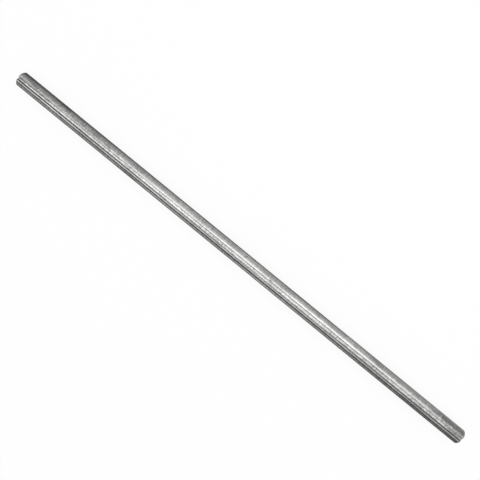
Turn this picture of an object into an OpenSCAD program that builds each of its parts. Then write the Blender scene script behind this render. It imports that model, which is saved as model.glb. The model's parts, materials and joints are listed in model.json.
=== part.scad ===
// Keyed shaft: a turned, ground and polished steel bar with one keyway
// milled straight along its whole length.
// The bar lies along X with its axis through the origin, half of its
// length on each side, and the keyway faces up along Z.

/* [Bar] */
// Diameter of the bar
shaft_d = 25.4; // [20:0.1:40]
// Overall length of the bar, over both ends
shaft_length = 914.4; // [150:0.1:1830]
// Width of the 45 degree chamfer round each end
end_chamfer = 1.6; // [0.5:0.1:3]

/* [Keyway] */
// Width of the keyway between its two walls
keyway_w = 6.35; // [5:0.05:9.5]
// Depth of the keyway's walls, from lip to floor
keyway_depth = 3.175; // [2:0.025:4]
// Radius along the two corners of the keyway's floor
floor_corner_r = 0.4; // [0.2:0.05:0.8]
// Depth of the 45 degree edge break on the keyway's two lips
lip_break = 0.25; // [0.1:0.05:0.5]

/* [Hidden] */
$fn = 128;

bar_r = shaft_d / 2;
// Height at which the keyway's walls would meet the round of the bar
lip_z = sqrt(bar_r * bar_r - keyway_w * keyway_w / 4);
floor_z = lip_z - keyway_depth;
// How far a cutting shape runs past the surface that it cuts
overrun = 2;

// The bar before the keyway is cut, turned about X
module bar_blank() {
    half_length = shaft_length / 2;
    rotate([0, 90, 0])
        rotate_extrude()
            polygon([
                [0, -half_length],
                [bar_r - end_chamfer, -half_length],
                [bar_r, -half_length + end_chamfer],
                [bar_r, half_length - end_chamfer],
                [bar_r - end_chamfer, half_length],
                [0, half_length]
            ]);
}

// Section of the keyway across the bar: straight walls, a flat floor
// between two rounded corners, and lips that flare at 45 degrees
module keyway_section() {
    wall_y = keyway_w / 2;
    corner_y = wall_y - floor_corner_r;
    corner_z = floor_z + floor_corner_r;
    flare_z = lip_z - lip_break;
    top_z = bar_r + overrun;
    flare_y = wall_y + top_z - flare_z;

    for (side = [-1, 1])
        translate([side * corner_y, corner_z])
            circle(floor_corner_r);
    polygon([
        [-corner_y, floor_z],
        [corner_y, floor_z],
        [corner_y, corner_z],
        [wall_y, corner_z],
        [wall_y, flare_z],
        [flare_y, top_z],
        [-flare_y, top_z],
        [-wall_y, flare_z],
        [-wall_y, corner_z],
        [-corner_y, corner_z]
    ]);
}

// The path of the keyway cutter, open at both ends of the bar
module keyway() {
    cut_length = shaft_length + 2 * overrun;
    rotate([90, 0, 90])
        translate([0, 0, -cut_length / 2])
            linear_extrude(cut_length)
                keyway_section();
}

module shaft() {
    color("silver")
        difference() {
            bar_blank();
            keyway();
        }
}

shaft();
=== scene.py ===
import json
import math
import random

import bmesh
import bpy
from mathutils import Matrix, Vector


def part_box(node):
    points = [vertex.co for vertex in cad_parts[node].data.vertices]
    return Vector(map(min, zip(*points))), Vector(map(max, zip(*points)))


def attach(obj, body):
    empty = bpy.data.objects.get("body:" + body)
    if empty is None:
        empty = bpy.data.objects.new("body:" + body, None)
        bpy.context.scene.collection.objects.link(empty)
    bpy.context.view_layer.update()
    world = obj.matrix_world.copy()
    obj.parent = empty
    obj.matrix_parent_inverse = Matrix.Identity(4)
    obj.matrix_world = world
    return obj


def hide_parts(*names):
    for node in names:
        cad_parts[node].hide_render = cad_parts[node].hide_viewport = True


mm = 0.001

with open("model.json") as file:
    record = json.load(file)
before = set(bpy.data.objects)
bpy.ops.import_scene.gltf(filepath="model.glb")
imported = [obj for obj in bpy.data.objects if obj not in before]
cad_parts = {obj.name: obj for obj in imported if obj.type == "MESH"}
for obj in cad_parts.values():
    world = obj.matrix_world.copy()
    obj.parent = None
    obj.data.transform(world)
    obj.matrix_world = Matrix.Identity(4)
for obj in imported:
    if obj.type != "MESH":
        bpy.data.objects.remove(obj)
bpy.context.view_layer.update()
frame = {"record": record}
print("frame loaded")

# the steel keeps to the frame's own sizes
mounts = {mount["name"]: mount for mount in frame["record"]["mounts"]}
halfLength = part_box("shaft")[1].x
barRadius = -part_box("shaft")[0].z
endChamfer = halfLength - mounts["round_seat"]["dims"]["length_mm"] * mm / 2
keywayFloorZ = mounts["keyway_floor"]["pos_m"][2]
keywayHalfWidth = mounts["keyway_wall_plus_y"]["pos_m"][1]
groundZ = -barRadius  # what the bar lies on


def newMaterial(name):
    material = bpy.data.materials.new(name)
    material.use_nodes = True
    material.node_tree.nodes.clear()
    return material, material.node_tree


def addNode(tree, kind, inputs=None, **settings):
    # inputs go by name or number, and each is a value or another node's output
    node = tree.nodes.new(kind)
    for key, value in settings.items():
        setattr(node, key, value)
    for key, value in (inputs or {}).items():
        if isinstance(value, bpy.types.NodeSocket):
            tree.links.new(value, node.inputs[key])
        else:
            node.inputs[key].default_value = value
    return node


def doSum(tree, operation, first, *others):
    # a Math node for each further value, or one alone for a sum of a single value
    if not others:
        return addNode(tree, "ShaderNodeMath", {0: first}, operation=operation).outputs[0]
    for other in others:
        first = addNode(tree, "ShaderNodeMath", {0: first, 1: other}, operation=operation).outputs[0]
    return first


def plus(tree, *values):
    return doSum(tree, "ADD", *values)


def times(tree, *values):
    return doSum(tree, "MULTIPLY", *values)


def remap(tree, value, fromLow, fromHigh, low, high):
    return addNode(tree, "ShaderNodeMapRange",
                   {"Value": value, "From Min": fromLow, "From Max": fromHigh, "To Min": low, "To Max": high}
                   ).outputs[0]


def grains(tree, where, perMetre, detail=2.0):
    # noise from about -1 to 1, with its own number of grains per metre along each axis
    mapping = addNode(tree, "ShaderNodeMapping", {"Vector": where, "Scale": perMetre})
    noise = addNode(tree, "ShaderNodeTexNoise", {"Vector": mapping.outputs[0], "Scale": 1.0, "Detail": detail})
    return remap(tree, noise.outputs["Fac"], 0.25, 0.75, -1, 1)


def smudges(tree, along, aside, unit, spots, ragged):
    # adds up soft spots, each: place along the bar, place across, half length, half width, how much it lightens
    total = 0.0
    for atAlong, atAside, halfLong, halfWide, amount in spots:
        far = [doSum(tree, "POWER", doSum(tree, "DIVIDE", doSum(tree, "SUBTRACT", value, middle), half), 2)
               for value, middle, half in ((along, atAlong * mm, halfLong * mm), (aside, atAside * unit, halfWide * unit))]
        away = plus(tree, doSum(tree, "SQRT", plus(tree, *far)), ragged)
        total = plus(tree, total, remap(tree, away, 0.5, 1.25, amount, 0))
    return total


def linedSteel(tree, look, shade, dullness, height):
    # bare steel with marks that run round the bar, which draw its shine out along the bar
    tinted = addNode(tree, "ShaderNodeMix", {0: 1.0, 6: (*look["colour"], 1), 7: shade},
                     data_type="RGBA", blend_type="MULTIPLY")
    bump = addNode(tree, "ShaderNodeBump", {"Height": height, "Strength": 1.0, "Distance": look["lineHeight"]})
    tangent = addNode(tree, "ShaderNodeTangent", direction_type="RADIAL", axis="X")
    steel = addNode(tree, "ShaderNodeBsdfPrincipled",
                    {"Base Color": tinted.outputs[2], "Roughness": dullness, "Metallic": 1.0,
                     "Anisotropic": look["anisotropy"], "Anisotropic Rotation": 0.25,
                     "Normal": bump.outputs[0], "Tangent": tangent.outputs[0]})
    addNode(tree, "ShaderNodeOutputMaterial", {"Surface": steel.outputs[0]})


groundLook = {
    "colour": (0.487, 0.485, 0.48),
    "streaks": 0.35,            # how far the grinding lines darken or lighten the steel
    "patches": 0.15,            # the same for duller and brighter stretches, a few centimetres long
    "roughness": 0.27,
    "roughnessDrift": 0.07,
    "anisotropy": 0.75,
    "lineHeight": 0.004 * mm,
    # painted shade: how much darker the steel is along the keyway's +Y lip, at mid bar and at its ends
    "lipStain": (0.28, 0.12),
    "lipStainWidth": 0.55 * mm,
    # handling smudges and painted reflections: mm along from the middle, degrees round from the top, half sizes, how
    # much lighter
    "smudges": [(-426, 27, 10, 9, -0.3), (-420, 42, 15, 10, 0.14), (-370, 66, 15, 20, -0.36),
                (-328, 32, 5, 10, -0.2), (-312, 26, 66, 7, -0.27), (-306, 42, 5, 22, -0.16),
                (-276, 24, 9, 6, -0.2), (-245, 16, 185, 5.5, 0.3), (-229, -54, 24, 19, -0.4),
                (-108, 60, 4, 8, -0.2), (6, 42, 1.6, 6, -0.4), (61, 20, 4, 5, -0.4),
                (140, 17, 50, 5, -0.18), (200, -50, 60, 14, -0.12), (207, 60, 8, 8, -0.22),
                (360, 38, 26, 14, 0.15), (442, 44, 40, 34, -0.38), (-40, 27, 70, 14, 0.14), (246, 36, 85, 14, 0.12), (385, 17, 60, 5, 0.2),
                (105, 17, 60, 5, -0.14), (290, -18, 110, 6, 0.15),
                (200, -28, 75, 6, -0.17), (-160, -36, 150, 8, 0.1)],
}


def groundSteel(look):
    # the outside, ground and polished
    material, tree = newMaterial("groundSteel")
    where = addNode(tree, "ShaderNodeTexCoord").outputs["Object"]
    place = addNode(tree, "ShaderNodeSeparateXYZ", {"Vector": where}).outputs
    hairLines = grains(tree, where, (3200, 110, 110), detail=3)
    lines = grains(tree, where, (600, 170, 170), detail=3)
    broadLines = grains(tree, where, (210, 110, 110))
    patches = plus(tree, times(tree, grains(tree, where, (70, 90, 90)), 0.45),
                   times(tree, grains(tree, where, (15, 55, 55)), 1.7))
    streaks = plus(tree, times(tree, hairLines, 0.35), times(tree, lines, 1.05), times(tree, broadLines, 0.35))

    # painted shade in a ragged band along the keyway's +Y lip, on the bar's upper half
    fromLip = doSum(tree, "ABSOLUTE", doSum(tree, "SUBTRACT", place["Y"], keywayHalfWidth))
    ragged = plus(tree, fromLip, times(tree, broadLines, 0.3 * look["lipStainWidth"]))
    darkest = remap(tree, doSum(tree, "ABSOLUTE", place["X"]), 0, halfLength, *look["lipStain"])
    lipShade = times(tree, remap(tree, ragged, 0.3 * look["lipStainWidth"], look["lipStainWidth"], darkest, 0),
                  remap(tree, place["Z"], 0, 1 * mm, 0, 1))
    turned = doSum(tree, "ARCTAN2", place["Y"], place["Z"])
    blots = plus(tree, times(tree, broadLines, 0.2), times(tree, grains(tree, where, (330, 330, 330), detail=3), 0.4))
    # handling smudges, and painted reflections as long light and dark bands round the bar
    handlingAndPaintedLight = smudges(tree, place["X"], turned, math.radians(1), look["smudges"], blots)
    shade = times(tree, doSum(tree, "SUBTRACT", 1.0, lipShade), plus(tree, 1.0, handlingAndPaintedLight),
                  plus(tree, 1.0, times(tree, streaks, look["streaks"]), times(tree, patches, look["patches"])))
    dullness = plus(tree, look["roughness"], times(tree, streaks, look["roughnessDrift"]))
    linedSteel(tree, look, shade, dullness, plus(tree, times(tree, hairLines, 0.5), lines))
    return material


milledLook = {
    "colour": (0.506, 0.504, 0.499),
    "marks": 0.58,              # how far the cutter's marks darken or lighten the steel
    "patches": 0.36,            # the same for dull and bright spots
    # half width of the bright lane between the floor's edges of painted shade, at the bar's left and right ends
    "lane": (0.75 * mm, 1.45 * mm),
    "laneFade": 0.8 * mm,
    "laneSlope": 0.95 * mm,     # how far the lane wanders over a metre, towards +Y
    "laneShift": -0.17 * mm,
    "upperEdge": (0.5, 0.52),  # painted shade: what is left of the brightness in the floor's +Y corner, at its two ends
    "lowerEdge": (0.62, 0.1),   # the same in its -Y corner, at its lightest place and half a bar from there
    "lowerEdgeAt": 40 * mm,     # where that place is
    "wallShade": 1.2,           # how much brighter the walls are than the floor's edges of painted shade
    # dark spots and patches of painted shade: mm along from the middle, mm across, half sizes, how much lighter
    "smudges": [(284, 0.9, 11, 1.0, -0.3), (-293, -0.4, 8, 0.9, -0.3), (86, -2.6, 6, 1.2, -0.4),
                (-194, 1.0, 120, 2.4, 0.2), (250, 2.5, 60, 1.1, -0.25),
                (-448, 1.3, 60, 2.0, -0.35), (-457, -0.4, 16, 2.4, -0.4), (448, 1.0, 44, 2.6, -0.5), (345, -0.8, 60, 2.6, 0.14)],
    "roughness": 0.33,
    "roughnessDrift": 0.1,
    "anisotropy": 0.6,
    "lineHeight": 0.012 * mm,
}


def milledSteel(look):
    # the keyway, as its side cutter left it: marks straight across, with dull and bright patches, and painted shade
    # in the floor's corners
    material, tree = newMaterial("milledSteel")
    where = addNode(tree, "ShaderNodeTexCoord").outputs["Object"]
    place = addNode(tree, "ShaderNodeSeparateXYZ", {"Vector": where}).outputs
    toothLines = grains(tree, where, (1900, 60, 60))
    feedLines = grains(tree, where, (560, 260, 260))
    patches = plus(tree, times(tree, grains(tree, where, (170, 700, 700), detail=3), 0.9),
                   times(tree, grains(tree, where, (20, 60, 60)), 0.75))
    marks = plus(tree, times(tree, toothLines, 0.35), times(tree, feedLines, 0.9))

    # painted shade: the floor is bright along its middle and dark towards the walls
    laneMiddle = plus(tree, times(tree, place["X"], look["laneSlope"]), look["laneShift"])
    fromLane = doSum(tree, "ABSOLUTE", doSum(tree, "SUBTRACT", place["Y"], laneMiddle))
    ragged = plus(tree, fromLane, times(tree, patches, 0.3 * look["laneFade"]))
    upper = remap(tree, place["X"], -halfLength, halfLength, *look["upperEdge"])
    fromLightest = doSum(tree, "ABSOLUTE", doSum(tree, "SUBTRACT", place["X"], look["lowerEdgeAt"]))
    lower = remap(tree, fromLightest, 0, halfLength, *look["lowerEdge"])
    cornerShade = remap(tree, place["Y"], -0.5 * mm, 0.5 * mm, lower, upper)
    lane = remap(tree, place["X"], -halfLength, halfLength, *look["lane"])
    edge = remap(tree, ragged, lane, plus(tree, lane, look["laneFade"]), 1, cornerShade)
    wall = remap(tree, place["Z"], keywayFloorZ, keywayFloorZ + 0.5 * mm, 1, look["wallShade"])
    # dark spots, and patches that deepen or lighten the painted corner shade
    spots = smudges(tree, place["X"], place["Y"], mm, look["smudges"], times(tree, patches, 0.3))
    shade = times(tree, edge, wall, plus(tree, 1.0, spots),
                  plus(tree, 1.0, times(tree, marks, look["marks"]), times(tree, patches, look["patches"])))
    dullness = plus(tree, look["roughness"], times(tree, marks, look["roughnessDrift"]))
    linedSteel(tree, look, shade, dullness, plus(tree, times(tree, toothLines, 0.4), feedLines))
    return material


facedLook = {
    "colour": (0.493, 0.491, 0.486),
    "patches": 0.1,
    "roughness": 0.33,
    "roughnessDrift": 0.05,
    "anisotropy": 0.7,
    "lineHeight": 0.002 * mm,
    "ringsPerMetre": 3000,
}


def facedSteel(look):
    # the turned end faces and chamfers, with rings round the axis
    material, tree = newMaterial("facedSteel")
    where = addNode(tree, "ShaderNodeTexCoord").outputs["Object"]
    place = addNode(tree, "ShaderNodeSeparateXYZ", {"Vector": where}).outputs
    radius = doSum(tree, "SQRT", plus(tree, times(tree, place["Y"], place["Y"]), times(tree, place["Z"], place["Z"])))
    fromAxis = addNode(tree, "ShaderNodeCombineXYZ", {"X": radius, "Y": place["X"]}).outputs[0]
    rings = grains(tree, fromAxis, (look["ringsPerMetre"], look["ringsPerMetre"], 1))
    patches = grains(tree, where, (180, 180, 180), detail=3)
    shade = plus(tree, 1.0, times(tree, patches, look["patches"]), times(tree, rings, 0.5 * look["patches"]))
    dullness = plus(tree, look["roughness"], times(tree, patches, look["roughnessDrift"]))
    linedSteel(tree, look, shade, dullness, rings)
    return material


barMake = {
    "roundSteps": 180,             # steps round the outside, from lip to lip
    "lengthSteps": 32,
    "cornerRadius": 0.4 * mm,      # along the two corners of the keyway's floor
    "cornerSteps": 5,
    "wallHeight": 2.925 * mm,      # from the keyway's floor to the foot of its broken lip
    "feedPitch": 1.6 * mm,         # one turn of the keyway cutter
    "feedSteps": 6,
    "feedDepth": 0.014 * mm,
    "floorSteps": 8,               # steps across the cut floor
    "floorMargin": 0.15 * mm,      # plain floor between the cutter's marks and each corner
    "ringPitch": 0.45 * mm,        # one turn of the facing tool
    "ringDepth": 0.008 * mm,
    "faceLoops": 16,               # loops from the end's outline in to the rings
    "lipSpoke": 22.5,              # degrees from the top at which the end face's spokes leave the lips
    "seed": 7,
}


def lipTop(radius, make):
    # where the 45 degree lip meets a circle of this radius, and the foot of the lip
    footZ = keywayFloorZ + make["wallHeight"]
    meetZ = math.sqrt(radius ** 2 - keywayHalfWidth ** 2)
    if meetZ <= footZ:
        return (keywayHalfWidth, meetZ), meetZ
    rise = footZ - keywayHalfWidth
    y = (math.sqrt(2 * radius ** 2 - rise ** 2) - rise) / 2
    return (y, y + rise), footZ


def barSection(radius, make):
    # across the bar, from one corner of the keyway's floor up its wall, round the outside and back down
    top, footZ = lipTop(radius, make)
    corner, steps = make["cornerRadius"], make["cornerSteps"]
    side = []
    for step in range(steps + 1):
        turn = math.pi / 2 * step / steps
        side.append((keywayHalfWidth - corner + corner * math.sin(turn),
                     keywayFloorZ + corner - corner * math.cos(turn)))
    side.append((keywayHalfWidth, footZ))
    start = math.atan2(top[0], top[1])
    turns = [start + (2 * math.pi - 2 * start) * step / make["roundSteps"] for step in range(make["roundSteps"] + 1)]
    outside = [(radius * math.sin(turn), radius * math.cos(turn)) for turn in turns]
    return side + outside + [(-y, z) for y, z in reversed(side)]


def barStations(make):
    # (x, radius) along the bar, with a station where the lips run out on each chamfer
    runOut = math.hypot(keywayHalfWidth, keywayFloorZ + make["wallHeight"])
    shoulder = halfLength - endChamfer
    left = [(-shoulder - barRadius + radius, radius) for radius in (barRadius - endChamfer, runOut, barRadius)]
    steps = make["lengthSteps"]
    middle = [(shoulder * (2 * step / steps - 1), barRadius) for step in range(1, steps)]
    return left + middle + [(-x, radius) for x, radius in reversed(left)]


def addSkin(mesh, make):
    # everything but the keyway's floor and the end faces
    loops = [[mesh.verts.new((x, y, z)) for y, z in barSection(radius, make)] for x, radius in barStations(make)]
    walls = make["cornerSteps"] + 1
    for index, (near, far) in enumerate(zip(loops, loops[1:])):
        onChamfer = index < 2 or index >= len(loops) - 3
        for step in range(len(near) - 1):
            inKeyway = step < walls or step >= len(near) - 1 - walls
            face = mesh.faces.new((near[step], near[step + 1], far[step + 1], far[step]))
            face.material_index = 1 if inKeyway else 2 if onChamfer else 0
    return loops


def addMargin(mesh, coarse, fine, flip):
    # zips triangles between two rows of points that run the same way
    near, far = 0, 0
    while near < len(coarse) - 1 or far < len(fine) - 1:
        if far == len(fine) - 1 or (near < len(coarse) - 1 and coarse[near + 1].co.x <= fine[far + 1].co.x):
            corners = (coarse[near], coarse[near + 1], fine[far])
            near += 1
        else:
            corners = (coarse[near], fine[far + 1], fine[far])
            far += 1
        mesh.faces.new(corners[::-1] if flip else corners).material_index = 1


def addCutFloor(mesh, loops, make):
    # scallops straight across the keyway, each turn of the cutter biting a little differently
    dice = random.Random(make["seed"])
    half = keywayHalfWidth - make["cornerRadius"] - make["floorMargin"]
    across = [half * (2 * step / make["floorSteps"] - 1) for step in range(make["floorSteps"] + 1)]
    turns = round(2 * halfLength / make["feedPitch"])
    grid = [[mesh.verts.new((-halfLength, y, keywayFloorZ)) for y in across]]
    for turn in range(turns):
        bite = make["feedDepth"] * dice.uniform(0.35, 1)
        lean = dice.uniform(-0.3, 0.3)
        for step in range(1, make["feedSteps"] + 1):
            share = step / make["feedSteps"]
            x = halfLength * (2 * (turn + share) / turns - 1)
            dip = bite * (1 - (2 * share - 1) ** 2)
            grid.append([mesh.verts.new((x, y, keywayFloorZ - dip * (1 + lean * y / half) * (1 - 0.9 * (y / half) ** 2)))
                         for y in across])
    for near, far in zip(grid, grid[1:]):
        for step in range(len(across) - 1):
            mesh.faces.new((near[step], far[step], far[step + 1], near[step + 1])).material_index = 1
    addMargin(mesh, [loop[-1] for loop in loops], [row[0] for row in grid], False)
    addMargin(mesh, [loop[0] for loop in loops], [row[-1] for row in grid], True)
    return grid


def spokeTurns(points, make):
    # The angle of each outline point's spoke. The keyway's walls overhang the floor's corners as seen
    # from the axis, so their spokes are fanned out to keep them in order.
    side = make["cornerSteps"] + 2
    corner = math.atan2(points[0].x, points[0].y)
    lip = math.atan2(points[side].x, points[side].y)
    fanned = math.radians(make["lipSpoke"])
    turns = []
    for index, point in enumerate(points):
        turn = math.atan2(point.x, point.y)
        fromStart = min(index, 2 * side + make["roundSteps"] - index)
        if 0 <= fromStart < side:
            turn = math.copysign(corner + (fanned - corner) * fromStart / side, turn)
        elif fromStart >= side:
            turn = math.copysign(fanned + (abs(turn) - lip) * (math.pi - fanned) / (math.pi - lip), turn)
        turns.append(turn)
    return turns


def addEndFace(mesh, outline, outward, make):
    # from the end's outline in to a circle that clears the keyway, then in rings to the centre
    points = [Vector((vert.co.y, vert.co.z)) for vert in outline]
    ringStep = make["ringPitch"] / 4
    clear = keywayFloorZ - ringStep
    spokes = [Vector((math.sin(turn), math.cos(turn))) for turn in spokeTurns(points, make)]
    rounds = [[point.lerp(spoke * clear, step / make["faceLoops"]) for point, spoke in zip(points, spokes)]
              for step in range(1, make["faceLoops"] + 1)]
    rings = int(clear / ringStep) - 1
    rounds += [[spoke * (clear - step * ringStep) for spoke in spokes] for step in range(1, rings + 1)]

    loops = [outline]
    for spots in rounds:
        loop = []
        for spot in spots:
            share = (spot.length / make["ringPitch"]) % 1
            dip = make["ringDepth"] * (1 - (2 * share - 1) ** 2)
            loop.append(mesh.verts.new((outward * (halfLength - dip), spot.x, spot.y)))
        loops.append(loop)
    centre = mesh.verts.new((outward * halfLength, 0, 0))
    for outer, inner in zip(loops, loops[1:] + [None]):
        for step in range(len(outer)):
            after = (step + 1) % len(outer)
            corners = (outer[step], outer[after]) + ((inner[after], inner[step]) if inner else (centre,))
            mesh.faces.new(corners if outward > 0 else corners[::-1]).material_index = 2


def makeBar(make):
    mesh = bmesh.new()
    loops = addSkin(mesh, make)
    grid = addCutFloor(mesh, loops, make)
    addEndFace(mesh, loops[0] + grid[0], -1, make)
    addEndFace(mesh, loops[-1] + grid[-1], 1, make)
    bmesh.ops.remove_doubles(mesh, verts=mesh.verts, dist=1e-4 * mm)  # the lips have no width at the end faces
    bmesh.ops.recalc_face_normals(mesh, faces=mesh.faces)
    data = bpy.data.meshes.new("keyedBar")
    mesh.to_mesh(data)
    mesh.free()
    data.shade_smooth()
    data.set_sharp_from_angle(angle=math.radians(28))
    for material in (groundSteel(groundLook), milledSteel(milledLook), facedSteel(facedLook)):
        data.materials.append(material)
    bar = bpy.data.objects.new("keyedBar", data)
    bpy.context.scene.collection.objects.link(bar)
    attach(bar, "root")
    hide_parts("shaft")
    print("bar made,", len(data.polygons), "faces")


def stageObject(name, verts, faces):
    data = bpy.data.meshes.new(name)
    data.from_pydata(verts, [], faces)
    obj = bpy.data.objects.new(name, data)
    bpy.context.scene.collection.objects.link(obj)
    return obj


def seenDirectly(tree):
    # 1 where the lens sees a thing, straight or mirrored in the steel
    ray = addNode(tree, "ShaderNodeLightPath").outputs
    return doSum(tree, "MAXIMUM", ray["Is Camera Ray"], ray["Is Glossy Ray"], ray["Is Transmission Ray"])


floorLook = {
    "halfSide": 40.0,
    "paint": 0.94,
    "ownLight": 0.88,    # share of what the lens sees that is plain white; the rest takes light and shadow
}


def makeFloor(look):
    half = look["halfSide"]
    floor = stageObject("paleFloor", [(x, y, groundZ) for x, y in ((-half, -half), (half, -half), (half, half), (-half, half))],
                        [(0, 1, 2, 3)])
    material, tree = newMaterial("paleFloor")
    paint = addNode(tree, "ShaderNodeBsdfDiffuse", {"Color": (look["paint"],) * 3 + (1,)})
    white = addNode(tree, "ShaderNodeEmission", {"Color": (1, 1, 1, 1), "Strength": 1.0})
    mix = addNode(tree, "ShaderNodeMixShader",
                  {0: times(tree, seenDirectly(tree), look["ownLight"]), 1: paint.outputs[0], 2: white.outputs[0]})
    addNode(tree, "ShaderNodeOutputMaterial", {"Surface": mix.outputs[0]})
    floor.data.materials.append(material)


# Cards stand along both sides of the bar and glow in grey tones, like the grey cards a photographer sets round bright
# metal. They are out of the lens's sight and show only in the steel, where they draw its dark edges; their dark rows
# next to the bar stand in for the floor's shadow there, a painted shadow.
# Each row of tones is: share of the way out from the bar, then grey at the left, middle and right.
cards = {
    "cardBehind": {"side": 1, "out": 420 * mm, "up": 430 * mm, "tones": [
        (0.0, 0.02, 0.08, 0.39), (0.05, 0.06, 0.18, 0.5), (0.09, 0.09, 0.57, 0.57), (0.15, 0.19, 0.7, 0.57),
        (0.4, 0.41, 0.65, 0.52), (0.7, 0.51, 0.85, 0.62), (1.0, 0.68, 1.31, 0.97)]},
    "cardBefore": {"side": -1, "out": 420 * mm, "up": 430 * mm, "tones": [
        (0.0, 0.11, 0.11, 0.06), (0.08, 0.18, 0.18, 0.09), (0.15, 0.46, 0.64, 0.22), (0.37, 0.56, 0.7, 0.24),
        (0.53, 0.2, 0.09, 0.08), (0.66, 0.05, 0.01, 0.09), (0.79, 0.46, 0.06, 0.56), (0.92, 1.93, 1.62, 0.68),
        (1.0, 1.6, 1.85, 0.62)]},
}
cardMake = {"halfRun": 1.2, "fadeRun": 0.5, "nearBar": 3 * mm, "lift": 0.2 * mm, "steps": 24}


def makeCard(name, card):
    # flat on the floor beside the bar, then curling up
    rows, columns = cardMake["steps"], cardMake["steps"]
    verts, tones = [], []
    for row in range(rows + 1):
        share = row / rows
        y = card["side"] * (cardMake["nearBar"] + card["out"] * share)
        z = groundZ + cardMake["lift"] + card["up"] * share ** 3
        below = max(tone for tone in card["tones"][:-1] if tone[0] <= share)
        above = min(tone for tone in card["tones"] if tone[0] > below[0])
        blend = (share - below[0]) / (above[0] - below[0])
        left, middle, right = [a + (b - a) * blend for a, b in zip(below[1:], above[1:])]
        for column in range(columns + 1):
            x = cardMake["halfRun"] * (2 * column / columns - 1)
            verts.append((x, y, z))
            aside = min(abs(x) / cardMake["fadeRun"], 1)
            tone = middle + ((right if x > 0 else left) - middle) * aside ** 1.5
            tones += [tone, tone, tone, 1]
    faces = []
    for row in range(rows):
        for column in range(columns):
            first = row * (columns + 1) + column
            faces.append((first, first + 1, first + columns + 2, first + columns + 1))
    obj = stageObject(name, verts, faces)
    obj.data.color_attributes.new(name="tone", type="FLOAT_COLOR", domain="POINT").data.foreach_set("color", tones)
    obj.visible_camera = False
    obj.visible_diffuse = False
    obj.visible_transmission = False
    obj.visible_shadow = False
    material, tree = newMaterial(name)
    tone = addNode(tree, "ShaderNodeAttribute", attribute_name="tone")
    glow = addNode(tree, "ShaderNodeEmission", {"Color": tone.outputs["Color"], "Strength": 1.0})
    addNode(tree, "ShaderNodeOutputMaterial", {"Surface": glow.outputs[0]})
    obj.data.materials.append(material)


# each lamp faces the bar from `lean` degrees off straight up, positive towards +Y
lamps = {
    "ceilingPanel": {"lean": -7, "turn": 0, "along": -0.4, "distance": 1.7, "length": 2.6, "width": 1.36,
                     "glow": 0.57},
    "mainSoftbox": {"lean": 34, "turn": 16, "along": 0.31, "distance": 1.5, "length": 1.5, "width": 0.42,
                    "glow": 1.48},
}
roomLevel = 0.8


def makeLamp(name, lamp):
    data = bpy.data.lights.new(name, "AREA")
    data.shape = "RECTANGLE"
    data.size, data.size_y = lamp["length"], lamp["width"]
    data.energy = lamp["glow"] * math.pi * lamp["length"] * lamp["width"]  # its face then looks as bright as `glow`
    obj = bpy.data.objects.new(name, data)
    bpy.context.scene.collection.objects.link(obj)
    leaned = Matrix.Rotation(-math.radians(lamp["lean"]), 4, "X")
    place = leaned @ Vector((lamp["along"], 0, lamp["distance"]))
    obj.matrix_world = Matrix.Translation(place) @ leaned @ Matrix.Rotation(math.radians(lamp["turn"]), 4, "Z")
    obj.visible_camera = False


def makeWorld(level):
    # lights the room at this level, and is plain white to the lens and in the steel
    world = bpy.data.worlds.new("paleRoom")
    world.use_nodes = True
    tree = world.node_tree
    back = tree.nodes["Background"]
    back.inputs["Color"].default_value = (1, 1, 1, 1)
    tree.links.new(remap(tree, seenDirectly(tree), 0, 1, level, 1), back.inputs["Strength"])
    bpy.context.scene.world = world


shot = {
    "distance": 810 * mm,      # lens to the bar's axis
    "lens": 37.6, 
    "tilt": 8.5,               # degrees that the lens leans off straight up, towards +Y
    "roll": 39.27,             # the bar's slope in the picture, falling to the right
    "alongBar": -18.75 * mm,   # where the lens looks, from the bar's middle
    "acrossBar": 21.7 * mm,
}


def makeCamera(view):
    data = bpy.data.cameras.new("camera")
    data.lens = view["lens"]
    data.sensor_width = 36
    data.clip_start = 0.01
    data.clip_end = 50
    camera = bpy.data.objects.new("camera", data)
    bpy.context.scene.collection.objects.link(camera)
    tilted = Matrix.Rotation(-math.radians(view["tilt"]), 4, "X")
    place = tilted @ Vector((view["alongBar"], view["acrossBar"], view["distance"]))
    camera.matrix_world = Matrix.Translation(place) @ tilted @ Matrix.Rotation(math.radians(view["roll"]), 4, "Z")
    bpy.context.scene.camera = camera


makeBar(barMake)
makeFloor(floorLook)
for name, card in cards.items():
    makeCard(name, card)
for name, lamp in lamps.items():
    makeLamp(name, lamp)
makeWorld(roomLevel)
makeCamera(shot)
bpy.context.scene.view_settings.view_transform = "Standard"
print("stage, lamps and camera set")
